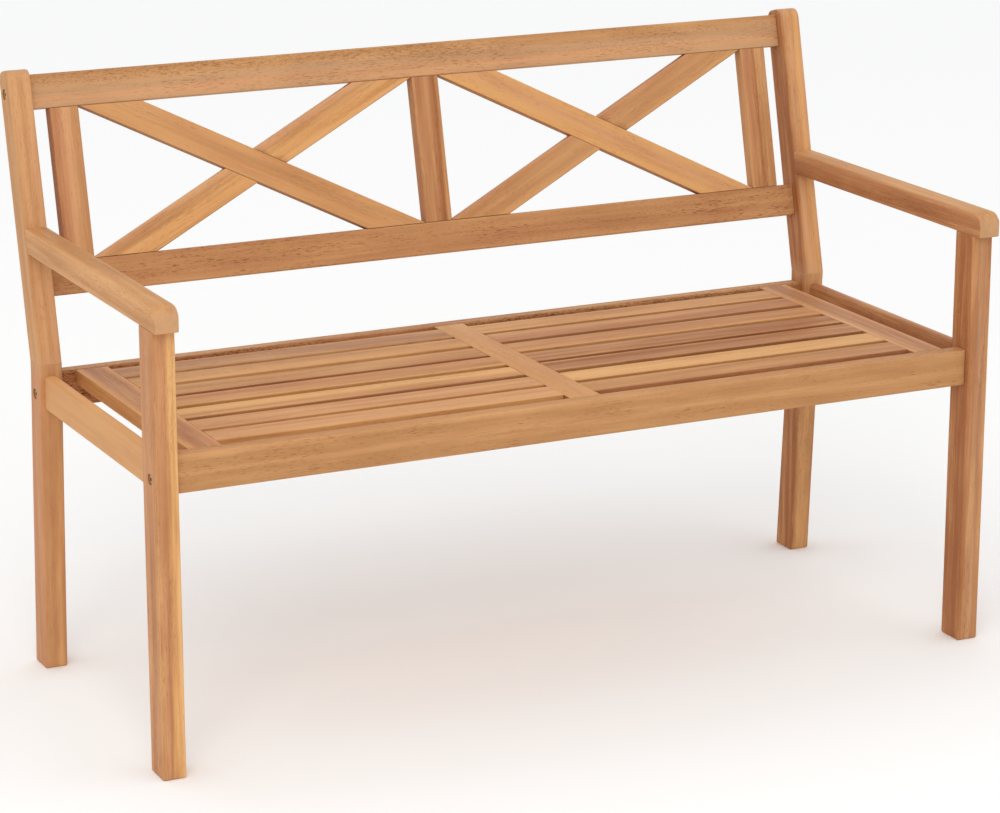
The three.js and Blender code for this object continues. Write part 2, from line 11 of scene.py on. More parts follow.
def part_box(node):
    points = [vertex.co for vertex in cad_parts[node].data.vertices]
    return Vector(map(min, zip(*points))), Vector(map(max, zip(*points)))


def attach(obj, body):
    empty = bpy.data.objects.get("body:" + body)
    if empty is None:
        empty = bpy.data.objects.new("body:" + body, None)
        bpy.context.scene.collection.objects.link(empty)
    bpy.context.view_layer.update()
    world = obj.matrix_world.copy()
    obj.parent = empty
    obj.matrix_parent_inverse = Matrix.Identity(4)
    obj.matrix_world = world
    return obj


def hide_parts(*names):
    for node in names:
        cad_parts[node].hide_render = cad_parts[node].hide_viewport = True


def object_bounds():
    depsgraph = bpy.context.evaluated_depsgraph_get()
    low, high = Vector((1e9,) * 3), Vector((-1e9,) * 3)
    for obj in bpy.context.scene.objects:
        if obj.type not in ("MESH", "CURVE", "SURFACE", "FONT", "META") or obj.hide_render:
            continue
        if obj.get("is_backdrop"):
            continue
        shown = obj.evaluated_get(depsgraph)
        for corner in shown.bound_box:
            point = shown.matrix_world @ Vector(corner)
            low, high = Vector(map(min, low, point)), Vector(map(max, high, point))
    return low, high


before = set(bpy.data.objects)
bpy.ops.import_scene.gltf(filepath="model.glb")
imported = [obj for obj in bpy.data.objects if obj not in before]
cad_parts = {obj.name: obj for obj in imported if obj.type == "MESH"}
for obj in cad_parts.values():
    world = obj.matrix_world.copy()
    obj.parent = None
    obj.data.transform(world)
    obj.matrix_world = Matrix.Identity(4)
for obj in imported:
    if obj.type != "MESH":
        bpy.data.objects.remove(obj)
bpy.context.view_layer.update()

# ---- sizes shared with the CAD model ----
JOINT_LINE = 0.00005            # gap at a joint
GLUE_LINE = 0.00002             # half the gap at the glued knee
LAP_GAP = 0.0001
BACK_RAKE = math.radians(13.3)
PANEL_SETBACK = 0.0135          # of the back panel's front face behind the posts' front
RAIL_THICKNESS = 0.022
TOP_RAIL_BOTTOM, TOP_RAIL_HEIGHT = 0.3345, 0.046        # measured up the rake from the knee
LOWER_RAIL_BOTTOM, LOWER_RAIL_HEIGHT = 0.088, 0.045
STILE_WIDTH, STILE_THICKNESS = 0.040, 0.018
DIAGONAL_THICKNESS = 0.014
DIAGONAL_CUT = 0.089            # length of a diagonal's slanted end along the rail
POST_DEPTH, POST_ABOVE_KNEE, KNEE_HEIGHT = 0.040, 0.388, 0.430
FOOT_BEHIND_KNEE, FOOT_DEPTH = 0.0232, 0.0423
COUNTERBORE_DIAMETER, COUNTERBORE_DEPTH = 0.014, 0.007
NUT_BORE_DIAMETER, NUT_BORE_DEPTH = 0.0106, 0.018

# ---- edge roundings ----
LEG_EDGE = 0.0027
RAIL_EDGE = 0.0025
BOARD_EDGE = 0.0014
SEAT_BOARD_EDGE = 0.0009
ARM_TOP_EDGE, ARM_UNDER_EDGE = 0.0025, 0.0016
EASED_END = 0.0009
RAIL_END = 0.0004
FOOT_END = 0.0025
POST_TOP_ROUND = 0.015
ARM_NOSE_ROUND, ARM_NOSE_SIDE = 0.017, 0.0022
BORE_RIM = 0.0006
WIDEST_ROUNDING = 0.49          # share of a section's thinner side
EDGE_UNEVENNESS = 0.3           # share by which an edge's rounding varies along the board
EDGE_WAVES = 7                  # per metre of board
CORNER_STRIDE = 5.3             # between the noises of a board's four edges
SEED_STRIDES = (1.37, 2.71)     # between the noises of two boards
SLAT_UNEVENNESS, SLAT_STRIDE = 0.00035, 2.3

# ---- mesh fineness ----
CORNER_STEPS = 5
FLAT_STEPS = 4
END_STEPS = 5
STATION_SPACING = 0.018
CLOSEST_STATIONS = 0.00012
DRUM_SIDES = 40
CUTTER_START = 0.01             # how far outside the wood a drill cutter begins
LAP_CUTTER_LENGTH, LAP_CUTTER_EXCESS = 0.24, 0.004
NORMAL_WEIGHT, SHARP_ANGLE = 60, math.radians(50)

X, Y, Z = Vector((1, 0, 0)), Vector((0, 1, 0)), Vector((0, 0, 1))
UP_RAKE = Vector((0, math.sin(BACK_RAKE), math.cos(BACK_RAKE)))
OFF_RAKE = Vector((0, math.cos(BACK_RAKE), -math.sin(BACK_RAKE)))
SIDES = {"left": -1, "right": 1}
SLATS_PER_BAY = 7

knee_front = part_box("back_post_left")[0].y
KNEE = Vector((0, knee_front, KNEE_HEIGHT))


# ================= node trees =================


class Nodes:
    """Short calls for building a node tree."""

    def __init__(self, tree):
        self.tree = tree

    def add(self, kind, **settings):
        node = self.tree.nodes.new(kind)
        for key, value in settings.items():
            setattr(node, key, value)
        return node

    def link(self, source, target):
        self.tree.links.new(source, target)

    def fill(self, socket, value):
        if isinstance(value, bpy.types.NodeSocket):
            self.link(value, socket)
        else:
            socket.default_value = value

    def math(self, operation, a, b, clamp=False):
        node = self.add("ShaderNodeMath", operation=operation, use_clamp=clamp)
        self.fill(node.inputs[0], a)
        self.fill(node.inputs[1], b)
        return node.outputs[0]

    def plus(self, a, b, clamp=False):
        return self.math("ADD", a, b, clamp)

    def minus(self, a, b, clamp=False):
        return self.math("SUBTRACT", a, b, clamp)

    def times(self, a, b):
        return self.math("MULTIPLY", a, b)

    def swing(self, texture, strength):
        """A noise turned into a shift either side of zero."""
        return self.times(self.minus(texture, 0.5), strength)

    def noise(self, vector, texture):
        """One of the textures named below: a noise drawn out along the board."""
        along, across, detail, roughness = texture
        drawn_out = self.add("ShaderNodeVectorMath", operation="MULTIPLY")
        self.link(vector, drawn_out.inputs[0])
        drawn_out.inputs[1].default_value = (along, across, across)
        node = self.add("ShaderNodeTexNoise")
        self.link(drawn_out.outputs[0], node.inputs["Vector"])
        node.inputs["Scale"].default_value = 1.0
        node.inputs["Detail"].default_value = detail
        node.inputs["Roughness"].default_value = roughness
        return node.outputs["Fac"]

    def remap(self, value, low, high, to_low, to_high, smooth=True):
        node = self.add("ShaderNodeMapRange", clamp=True)
        node.interpolation_type = "SMOOTHSTEP" if smooth else "LINEAR"
        self.link(value, node.inputs["Value"])
        node.inputs["From Min"].default_value = low
        node.inputs["From Max"].default_value = high
        node.inputs["To Min"].default_value = to_low
        node.inputs["To Max"].default_value = to_high
        return node.outputs["Result"]

    def mix(self, blend, factor, a, b):
        node = self.add("ShaderNodeMix", data_type="RGBA", blend_type=blend, clamp_factor=True)
        self.fill(node.inputs["Factor"], factor)
        self.fill(node.inputs["A"], a)
        self.fill(node.inputs["B"], b)
        return node.outputs["Result"]

    def attribute(self, name):
        node = self.add("ShaderNodeAttribute", attribute_type="GEOMETRY", attribute_name=name)
        return node.outputs

    def bump(self, height, strength, distance):
        node = self.add("ShaderNodeBump")
        node.inputs["Strength"].default_value = strength
        node.inputs["Distance"].default_value = distance
        self.link(height, node.inputs["Height"])
        return node.outputs["Normal"]


def new_material(name):
    """A material, with its nodes and its shader's inputs."""
    material = bpy.data.materials.new(name)
    material.use_nodes = True
    tree = material.node_tree
    return material, Nodes(tree), tree.nodes["Principled BSDF"].inputs


# ================= wood =================

# Colours the oiled wood shows in soft white light, as sRGB 0-255.
TONES = {
    "straw": (220, 171, 116),
    "golden": (212, 158, 102),
    "honey": (202, 148, 97),
    "peach": (204, 151, 108),
    "tan": (191, 140, 94),
    "sand": (190, 148, 110),
    "khaki": (179, 130, 85),
    "clay": (182, 128, 87),
    "rose": (188, 131, 92),
    "mauve": (173, 125, 92),
    "walnut": (163, 105, 66),
}

# Colours that darken the tone they are multiplied with; the last, SHADE_TINT, is painted shade.
STREAK_TINT = (0.70, 0.60, 0.53, 1)
MOTTLE_TINT = (0.36, 0.30, 0.26, 1)
PORE_TINT = (0.60, 0.50, 0.42, 1)
SHADE_TINT = (0.56, 0.45, 0.36, 1)

# Textures: cycles per metre along the board and across it, detail, roughness.
SWAY = (2.2, 14, 1.0, 0.5)
BROAD_STREAKS = (3.5, 85, 3.0, 0.6)
FINE_STREAKS = (10, 420, 3.0, 0.65)
CLOUDS = (7, 26, 3.0, 0.6)
PORE_DASHES = (95, 1150, 1.0, 0.5)
PORE_PATCHES = (5, 45, 2.0, 0.6)
SPECKLES = (190, 560, 3.0, 0.7)
SPECKLE_PATCHES = (3.5, 40, 2.0, 0.6)
LAYER_WAVES = (2.0, 11, 1.0, 0.5)
LAYER_RAGS = (4.5, 105, 4.0, 0.6)

# The part of a texture's range over which its effect grows from nothing to full.
BROAD_RANGE, FINE_RANGE = (0.34, 0.66), (0.32, 0.68)
PORE_PATCH_RANGE = (0.35, 0.68)
SPECKLE_RANGE, SPECKLE_PATCH_RANGE = (0.51, 0.59), (0.46, 0.64)
RUB_AND_HIGHLIGHT_RANGE = (0.35, 0.65)
MOTTLE_LAYERS = (0.15, 0.75)    # tone layers between which the look's two mottles blend

# How strongly each part of the grain shows.
SWAY_REACH = 0.010              # metres
BROAD_SWING, FINE_SWING, CLOUD_SWING = 0.20, 0.11, 0.36
WAVE_SWING, RAG_SWING = 0.30, 0.62
DARK_GAIN, BRIGHT_GAIN = 3.0, 2.2
PORE_LEVELS, PORE_SOFTNESS = (0.70, 0.56), 0.055
MOTTLE_SPREAD = 0.16            # how much wider a strong mottle's patches are
RUB_AND_HIGHLIGHT_LEAST = 0.25
# Arris paleness is partly wear and partly a painted highlight.
ARRIS_PALENESS, CUT_PALENESS = 0.12, 0.7

# The surface itself.
ROUGHNESS = 0.50
FINE_ROUGHNESS, PORE_ROUGHNESS, RUBBED_SMOOTHNESS = 0.22, 0.18, 0.08
FINE_HEIGHT, BROAD_HEIGHT, PORE_HEIGHT = 0.45, 0.35, 0.9
GRAIN_BUMP, GRAIN_RELIEF = 0.35, 0.00035
WOOD_SPECULAR = 0.09


def linear(tone):
    """A tone as linear RGBA."""
    channels = []
    for value in TONES[tone]:
        v = value / 255
        channels.append(v / 12.92 if v <= 0.04045 else ((v + 0.055) / 1.055) ** 2.4)
    return (*channels, 1.0)


def timber_group():
    """Adds streaks, mottling, pores, pale edges (worn, with a painted highlight), end grain and painted
    shade to a board's own tones.
    """
    group = bpy.data.node_groups.new("oiled_timber", "ShaderNodeTree")
    for name, direction, kind in (
        ("Grain", "INPUT", "Vector"),
        ("Tone", "INPUT", "Color"),
        ("Streaks", "INPUT", "Float"),
        ("Pores", "INPUT", "Float"),
        ("Mottle", "INPUT", "Float"),
        ("Color", "OUTPUT", "Color"),
        ("Roughness", "OUTPUT", "Float"),
        ("Normal", "OUTPUT", "Vector"),
    ):
        group.interface.new_socket(name, in_out=direction, socket_type=f"NodeSocket{kind}")
    n = Nodes(group)
    given = n.add("NodeGroupInput").outputs
    out = n.add("NodeGroupOutput").inputs

    # The grain wanders gently off the straight line along the board.
    sway = n.swing(n.noise(given["Grain"], SWAY), SWAY_REACH)
    offset = n.add("ShaderNodeCombineXYZ")
    n.link(sway, offset.inputs["Y"])
    n.link(sway, offset.inputs["Z"])
    bend = n.add("ShaderNodeVectorMath", operation="ADD")
    n.link(given["Grain"], bend.inputs[0])
    n.link(offset.outputs[0], bend.inputs[1])
    grain = bend.outputs[0]

    broad = n.noise(grain, BROAD_STREAKS)
    fine = n.noise(grain, FINE_STREAKS)
    cloud = n.noise(grain, CLOUDS)

    # Light and dark streaks shift the tone in opposite directions.
    streak = n.remap(broad, *BROAD_RANGE, -1.0, 1.0, smooth=False)
    thread = n.remap(fine, *FINE_RANGE, -1.0, 1.0, smooth=False)
    level = n.plus(
        n.times(streak, n.times(given["Streaks"], BROAD_SWING)),
        n.times(thread, n.times(given["Streaks"], FINE_SWING)),
    )
    level = n.plus(level, n.swing(cloud, CLOUD_SWING))
    brighter = n.math("MAXIMUM", level, 0.0)
    darker = n.math("MAXIMUM", n.times(level, -1.0), 0.0)
    colour = n.mix("MULTIPLY", n.times(darker, DARK_GAIN), given["Tone"], STREAK_TINT)
    colour = n.mix("MIX", n.times(brighter, BRIGHT_GAIN), colour, linear("straw"))

    # Dark speckled patches on the coarser boards.
    speckle = n.remap(n.noise(grain, SPECKLES), *SPECKLE_RANGE, 0.0, 1.0)
    patch = n.plus(n.noise(grain, SPECKLE_PATCHES), n.times(given["Mottle"], MOTTLE_SPREAD))
    mottle = n.times(speckle, n.remap(patch, *SPECKLE_PATCH_RANGE, 0.0, 1.0))
    mottle = n.times(mottle, given["Mottle"])
    colour = n.mix("MULTIPLY", mottle, colour, MOTTLE_TINT)

    # Pores are short dark dashes, closer together in some patches.
    pore_level = n.remap(n.noise(grain, PORE_PATCHES), *PORE_PATCH_RANGE, *PORE_LEVELS)
    pore = n.minus(n.noise(grain, PORE_DASHES), pore_level)
    pore = n.times(n.remap(pore, 0.0, PORE_SOFTNESS, 0.0, 1.0), given["Pores"])
    colour = n.mix("MULTIPLY", pore, colour, PORE_TINT)

    # Arrises are paler and smoother: worn, with a painted highlight. Sawn ends are paler. Painted shade
    # darkens sides that face a gap or face down, and drilled holes.
    split = n.add("ShaderNodeSeparateXYZ")
    n.link(n.attribute("arris_shade_cut")["Vector"], split.inputs[0])
    arris, shade, cut = split.outputs[0], split.outputs[1], split.outputs[2]
    # Paler arrises: partly wear, partly a painted highlight.
    rubbed_and_highlit = n.times(arris, n.remap(cloud, *RUB_AND_HIGHLIGHT_RANGE, RUB_AND_HIGHLIGHT_LEAST, 1.0))
    colour = n.mix("MIX", n.times(rubbed_and_highlit, ARRIS_PALENESS), colour, linear("straw"))
    colour = n.mix("MIX", n.times(cut, CUT_PALENESS), colour, linear("sand"))
    colour = n.mix("MULTIPLY", shade, colour, SHADE_TINT)
    n.link(colour, out["Color"])

    rough = n.plus(ROUGHNESS, n.swing(fine, FINE_ROUGHNESS))
    rough = n.plus(rough, n.times(pore, PORE_ROUGHNESS))
    rough = n.minus(rough, n.times(rubbed_and_highlit, RUBBED_SMOOTHNESS), clamp=True)
    n.link(rough, out["Roughness"])

    height = n.plus(n.times(fine, FINE_HEIGHT), n.times(broad, BROAD_HEIGHT))
    height = n.minus(height, n.times(pore, PORE_HEIGHT))
    n.link(n.bump(height, GRAIN_BUMP, GRAIN_RELIEF), out["Normal"])
    return group


TIMBER = timber_group()


def timber_material(node, look):
    """One board's material: its tones lie in layers across its section, at the look's tilt."""
    material, n, shader = new_material(f"wood_of_{node}")
    grain = n.attribute("grain")["Vector"]
    layer = n.attribute("layer")["Fac"]

    where = n.plus(layer, n.swing(n.noise(grain, LAYER_WAVES), WAVE_SWING))
    where = n.plus(where, n.swing(n.noise(grain, LAYER_RAGS), RAG_SWING), clamp=True)
    ramp = n.add("ShaderNodeValToRGB")
    n.link(where, ramp.inputs["Fac"])
    stops = ramp.color_ramp.elements
    tones = look["tones"]
    while len(stops) < len(tones):
        stops.new(0.5)
    for index, (stop, tone) in enumerate(zip(stops, tones)):
        stop.position = index / (len(tones) - 1)
        stop.color = linear(tone)

    timber = n.add("ShaderNodeGroup", node_tree=TIMBER)
    n.link(grain, timber.inputs["Grain"])
    n.link(ramp.outputs["Color"], timber.inputs["Tone"])
    timber.inputs["Streaks"].default_value = look["streaks"]
    timber.inputs["Pores"].default_value = look["pores"]
    n.link(n.remap(layer, *MOTTLE_LAYERS, *look["mottle"]), timber.inputs["Mottle"])
    n.link(timber.outputs["Color"], shader["Base Color"])
    n.link(timber.outputs["Roughness"], shader["Roughness"])
    n.link(timber.outputs["Normal"], shader["Normal"])
    shader["Specular IOR Level"].default_value = WOOD_SPECULAR
    return material


def wood(slot, tones, tilt=0, streaks=0.7, pores=0.45, mottle=(0, 0), sides=0):
    """How one board looks.

    slot is a name for its colour and is not used.  tones lie in layers from one side of its section
    to the other, and tilt turns them from across the board (0) towards through it (90).  streaks
    and pores are strengths; mottle is its strength at the first layer and at the last; sides is
    the shade on the long sides that face a gap.
    """
    return dict(
        slot=slot, tones=tones.split(), tilt=math.radians(tilt),
        streaks=streaks, pores=pores, mottle=mottle, sides=sides,
    )


# A walnut first layer is painted shade: it darkens the right-hand pieces' inner faces, the left stile's
# side next to its post and the rear rail's front face under the seat.
LOOKS = {
    "front_leg_left": wood("peach", "clay rose clay golden straw straw golden", tilt=15),
    "front_leg_right": wood("peach", "walnut clay mauve clay clay"),
    "rear_leg_left": wood("peach", "rose tan clay honey clay", streaks=0.45, pores=0.15),
    "rear_leg_right": wood("peach", "walnut tan honey tan clay", streaks=0.6),
    "back_post_left": wood("peach", "tan peach tan peach tan", streaks=0.45),
    "back_post_right": wood("peach", "walnut peach golden peach"),
    "armrest_left": wood("honey", "tan honey tan tan", tilt=20),
    "armrest_right": wood("honey", "walnut clay honey tan", tilt=35),
    "front_rail": wood(
        "tan", "khaki khaki khaki tan khaki khaki tan",
        tilt=90, streaks=0.3, pores=0.65, mottle=(0.1, 0.1),
    ),
    "rear_rail": wood("tan", "walnut tan tan clay", pores=0.9, mottle=(1, 0.15)),
    "side_rail_left": wood("honey", "honey golden golden honey", streaks=0.3, pores=0.1),
    "side_rail_right": wood("honey", "walnut walnut rose clay"),
    "seat_board_left": wood("honey", "golden rose mauve rose peach", sides=0.2),
    "seat_board_centre": wood("honey", "honey honey peach honey", streaks=0.3, sides=1),
    "seat_board_right": wood("rose", "peach tan mauve rose tan", sides=0.9),
    "seat_slat_left_1": wood("peach", "golden peach peach honey", sides=0.25),
    "seat_slat_left_2": wood("peach", "honey peach peach tan", sides=0.45),
    "seat_slat_left_3": wood("golden", "rose honey straw golden", sides=0.7),
    "seat_slat_left_4": wood("peach", "golden tan rose tan", sides=0.6),
    "seat_slat_left_5": wood("honey", "rose tan tan tan", sides=0.9),
    "seat_slat_left_6": wood("honey", "golden honey tan tan", sides=0.4),
    "seat_slat_left_7": wood("rose", "tan mauve mauve tan", pores=0.7, sides=0.1),
    "seat_slat_right_1": wood("rose", "rose tan tan tan", sides=0.5),
    "seat_slat_right_2": wood("golden", "golden straw straw golden", sides=0.7),
    "seat_slat_right_3": wood("mauve", "clay mauve walnut clay", sides=0.8),
    "seat_slat_right_4": wood("mauve", "clay walnut mauve clay", sides=0.8),
    "seat_slat_right_5": wood("rose", "golden rose tan rose", sides=0.55),
    "seat_slat_right_6": wood("rose", "clay rose tan rose", sides=0.55),
    "seat_slat_right_7": wood("honey", "golden honey honey tan", sides=0.8),
    "back_top_rail": wood(
        "tan", "sand peach sand tan khaki",
        tilt=90, streaks=0.35, pores=0.7, mottle=(0.15, 0.4),
    ),
    "back_lower_rail": wood(
        "tan", "tan clay tan clay",
        tilt=90, streaks=0.35, pores=0.95, mottle=(0.2, 0.2),
    ),
    "back_stile_left": wood("rose", "walnut rose peach tan clay", streaks=0.5, sides=0.15),
    "back_stile_centre": wood("rose", "clay clay clay walnut tan", sides=0.35),
    "back_stile_right": wood("rose", "tan rose walnut tan clay", sides=0.2),
    "back_diagonal_front_left": wood("honey", "tan honey tan honey", streaks=0.5, sides=0.85),
    "back_diagonal_front_right": wood(
        "honey", "golden golden peach golden", streaks=0.35, sides=0.85,
    ),
    "back_diagonal_rear_left": wood("peach", "golden golden golden tan peach", sides=0.85),
    "back_diagonal_rear_right": wood("peach", "honey tan tan rose", streaks=0.45, sides=0.85),
}


# ================= timbers =================

boards = {}                     # the pieces by CAD node
bores = {}                      # each board's drilled holes: mouth, direction, radius, depth


def four(value):
    """A tuple of four, from one number or from four."""
    return value if isinstance(value, tuple) else (value,) * 4


def rounding(radius, depth):
    """How far a rounded end has drawn in, this deep from its tip."""
    if depth >= radius:
        return 0.0
    return radius - math.sqrt(radius * radius - (radius - depth) ** 2)


def section(low, high, radii):
    """A rounded rectangle in the board's own across and through directions."""
    corners = ((1, 1), (-1, 1), (-1, -1), (1, -1))
    limit = WIDEST_ROUNDING * min(high[0] - low[0], high[1] - low[1])
    rings = []
    for number, (a, b) in enumerate(corners):
        radius = min(radii[number], limit)
        centre = Vector((
            high[0] - radius if a > 0 else low[0] + radius,
            high[1] - radius if b > 0 else low[1] + radius,
        ))
        start = number * math.pi / 2
        ring = []
        for step in range(CORNER_STEPS + 1):
            angle = start + step / CORNER_STEPS * math.pi / 2
            ring.append(centre + radius * Vector((math.cos(angle), math.sin(angle))))
        rings.append(ring)
    points = []
    for number, ring in enumerate(rings):
        points += ring
        following = rings[(number + 1) % len(rings)][0]
        for step in range(1, FLAT_STEPS):
            points.append(ring[-1].lerp(following, step / FLAT_STEPS))
    return points


def depths(radii):
    """Distances from a tip at which its roundings need a ring of points."""
    found = {0.0}
    for radius in radii:
        for step in range(END_STEPS + 1):
            found.add(round(radius * (1 - math.sin(step / END_STEPS * math.pi / 2)), 6))
    kept = []
    for depth in sorted(found):
        if not kept or depth - kept[-1] > CLOSEST_STATIONS:
            kept.append(depth)
    return kept


def add_object(name, bm):
    """Puts a finished bmesh into the scene."""
    mesh = bpy.data.meshes.new(name)
    bm.to_mesh(mesh)
    bm.free()
    thing = bpy.data.objects.new(name, mesh)
    bpy.context.scene.collection.objects.link(thing)
    return thing


def loft(name, rows):
    """A closed object skinned over rings of points."""
    bm = bmesh.new()
    rings = [[bm.verts.new(point) for point in row] for row in rows]
    for here, there in zip(rings, rings[1:]):
        for k in range(len(here)):
            j = (k + 1) % len(here)
            bm.faces.new((here[k], here[j], there[j], there[k]))
    bm.faces.new(list(reversed(rings[0])))
    bm.faces.new(rings[-1])
    bmesh.ops.recalc_face_normals(bm, faces=bm.faces)
    return add_object(name, bm)


def timber(
    node, along, across, origin, start, end, extent, edge,
    start_round=EASED_END, finish_round=EASED_END, start_slope=(0, 0), finish_slope=(0, 0),
):
    """A board lofted along its length.

    along and across are its axes, with origin on its centre line.  extent(x) gives the section's
    low and high corners, and edge the rounding of its long edges.  start_round and finish_round
    are the roundings around the ends: across low, across high, through low, through high.  Each
    of these three is one number or four.  A slope slants that end.
    """
    through = along.cross(across)
    edge, start_round, finish_round = four(edge), four(start_round), four(finish_round)
    length = end - start
    near = [start + depth for depth in depths(start_round)]
    far = [end - depth for depth in reversed(depths(finish_round))]
    first, last = near[-1], far[0]
    count = max(2, round((last - first) / STATION_SPACING))
    between = [first + (last - first) * k / count for k in range(1, count)]

    meshes = len(bpy.data.meshes)
    seed = Vector((meshes * SEED_STRIDES[0], meshes * SEED_STRIDES[1], 0.5))
    rows = []
    for x in sorted(near + far + between):
        low, high = extent(x)
        before, after = x - start, end - x
        draw = [
            max(rounding(a, before), rounding(b, after)) for a, b in zip(start_round, finish_round)
        ]
        low = (low[0] + draw[0], low[1] + draw[2])
        high = (high[0] - draw[1], high[1] - draw[3])
        radii = []
        for k, radius in enumerate(edge):
            wave = noise.noise(seed + Vector((x * EDGE_WAVES, k * CORNER_STRIDE, 0)))
            radii.append(radius * (1 + EDGE_UNEVENNESS * wave))
        share = (x - start) / length
        row = []
        for p in section(low, high, radii):
            shift = (1 - share) * (start_slope[0] * p.x + start_slope[1] * p.y)
            shift += share * (finish_slope[0] * p.x + finish_slope[1] * p.y)
            row.append((x + shift, p.x, p.y))
        rows.append(row)

    piece = loft(f"timber_{node}", rows)
    turn = Matrix((along, across, through)).transposed().to_4x4()
    piece.matrix_world = Matrix.Translation(origin) @ turn
    boards[node] = piece


def even(width, depth):
    """An extent that stays the same all along, centred on the line."""
    low, high = (-width / 2, -depth / 2), (width / 2, depth / 2)
    return lambda x: (low, high)


def carve(piece, cutter):
    """Takes the cutter's solid out of the piece and removes the cutter."""
    modifier = piece.modifiers.new("carve", "BOOLEAN")
    modifier.operation = "DIFFERENCE"
    modifier.solver = "EXACT"
    modifier.object = cutter
    bpy.context.view_layer.update()
    evaluated = piece.evaluated_get(bpy.context.evaluated_depsgraph_get())
    shaped = bpy.data.meshes.new_from_object(evaluated)
    old = piece.data
    piece.modifiers.clear()
    piece.data = shaped
    bpy.data.meshes.remove(old)
    bpy.data.meshes.remove(cutter.data)


def drum(points, axis, base):
    """A turned cutter: points are (distance along the axis, radius)."""
    axis = axis.normalized()
    side = axis.orthogonal().normalized()
    other = axis.cross(side)
    rows = []
    for distance, radius in points:
        row = []
        for k in range(DRUM_SIDES):
            angle = 2 * math.pi * k / DRUM_SIDES
            direction = side * math.cos(angle) + other * math.sin(angle)
            row.append(base + axis * distance + direction * radius)
        rows.append(row)
    return loft("cutter", rows)


def hole(node, mouth, inward, diameter, depth):
    """A drilled hole with a slightly broken rim."""
    radius = diameter / 2
    start = (-CUTTER_START, radius + BORE_RIM + CUTTER_START)
    carve(boards[node], drum((start, (BORE_RIM, radius), (depth, radius)), inward, mouth))
    bores.setdefault(node, []).append((mouth, inward, radius, depth))


def on_rake(x, back, up):
    """A point given by its distances behind the posts' front face and up it from the knee."""
    return KNEE + X * x + OFF_RAKE * back + UP_RAKE * up


def middle(node):
    low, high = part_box(node)
    return (low + high) / 2


# ---- front legs ----
arm_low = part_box("armrest_left")[0]
for side_name in SIDES:
    node = f"front_leg_{side_name}"
    low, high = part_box(node)
    centre = middle(node)
    timber(
        node, Z, X, Vector((centre.x, centre.y, 0)), 0, arm_low.z - JOINT_LINE,
        even(high.x - low.x, high.y - low.y), LEG_EDGE, start_round=FOOT_END,
    )

# ---- rear legs: they widen and lean slightly towards the foot ----
back_corner = KNEE + OFF_RAKE * POST_DEPTH + UP_RAKE * (POST_DEPTH * math.tan(BACK_RAKE / 2))


def rear_leg_extent(half_width, datum):
    """The leg's section at a height, with its front and back measured from datum."""
    def extent(x):
        front = knee_front + FOOT_BEHIND_KNEE * (1 - x / KNEE_HEIGHT)
        foot_back = knee_front + FOOT_BEHIND_KNEE + FOOT_DEPTH
        if x < back_corner.z:
            back = foot_back + (back_corner.y - foot_back) * x / back_corner.z
        else:
            back = back_corner.y + (x - back_corner.z) * math.tan(BACK_RAKE)
        return (-half_width, front - datum), (half_width, back - datum)
    return extent


for side_name in SIDES:
    node = f"rear_leg_{side_name}"
    low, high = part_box(node)
    centre = middle(node)
    timber(
        node, Z, X, Vector((centre.x, centre.y, 0)), 0, KNEE_HEIGHT - GLUE_LINE,
        rear_leg_extent((high.x - low.x) / 2, centre.y), LEG_EDGE,
        start_round=FOOT_END, finish_round=GLUE_LINE,
    )

# ---- back posts ----
for side_name in SIDES:
    node = f"back_post_{side_name}"
    low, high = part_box(node)
    origin = on_rake((low.x + high.x) / 2, POST_DEPTH / 2, 0)
    lift = math.tan(BACK_RAKE) * POST_DEPTH / 2 + GLUE_LINE
    timber(
        node, UP_RAKE, X, origin, lift, POST_ABOVE_KNEE, even(high.x - low.x, POST_DEPTH), LEG_EDGE,
        start_round=GLUE_LINE,
        finish_round=(LEG_EDGE, LEG_EDGE, POST_TOP_ROUND, POST_TOP_ROUND),
        start_slope=(0, math.tan(BACK_RAKE)),
    )

# ---- armrests: from the nose back to the raked posts ----
for side_name in SIDES:
    node = f"armrest_{side_name}"
    low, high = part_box(node)
    thickness = high.z - low.z
    origin = Vector(((low.x + high.x) / 2, 0, low.z + thickness / 2))
    rear = knee_front + (origin.z - KNEE_HEIGHT) * math.tan(BACK_RAKE) - JOINT_LINE
    timber(
        node, -Y, X, origin, -rear, -low.y, even(high.x - low.x, thickness),
        (ARM_TOP_EDGE, ARM_TOP_EDGE, ARM_UNDER_EDGE, ARM_UNDER_EDGE),
        finish_round=(ARM_NOSE_SIDE, ARM_NOSE_SIDE, ARM_UNDER_EDGE, ARM_NOSE_ROUND),
        start_slope=(0, -math.tan(BACK_RAKE)),
    )

# ---- seat rails ----
for node in ("front_rail", "rear_rail"):
    low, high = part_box(node)
    centre = middle(node)
    timber(
        node, X, Y, centre, low.x - centre.x, high.x - centre.x,
        even(high.y - low.y, high.z - low.z), RAIL_EDGE,
        start_round=RAIL_END, finish_round=RAIL_END,
    )

# ---- side rails ----
leg_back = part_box("front_leg_left")[1].y
leg_lean = FOOT_BEHIND_KNEE / KNEE_HEIGHT
for side_name in SIDES:
    node = f"side_rail_{side_name}"
    low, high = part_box(node)
    centre = middle(node)
    rear = knee_front + leg_lean * (KNEE_HEIGHT - centre.z) - JOINT_LINE
    timber(
        node, -Y, X, Vector((centre.x, 0, centre.z)), -rear, -(leg_back + JOINT_LINE),
        even(high.x - low.x, high.z - low.z), RAIL_EDGE,
        start_round=RAIL_END, finish_round=RAIL_END, start_slope=(0, leg_lean),
    )

# ---- seat boards ----
seat_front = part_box("front_rail")[1].y + JOINT_LINE
seat_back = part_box("rear_rail")[0].y - JOINT_LINE
for name in ("left", "centre", "right"):
    node = f"seat_board_{name}"
    low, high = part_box(node)
    centre = middle(node)
    timber(
        node, -Y, X, Vector((centre.x, 0, centre.z)), -seat_back, -seat_front,
        even(high.x - low.x, high.z - low.z), SEAT_BOARD_EDGE,
    )

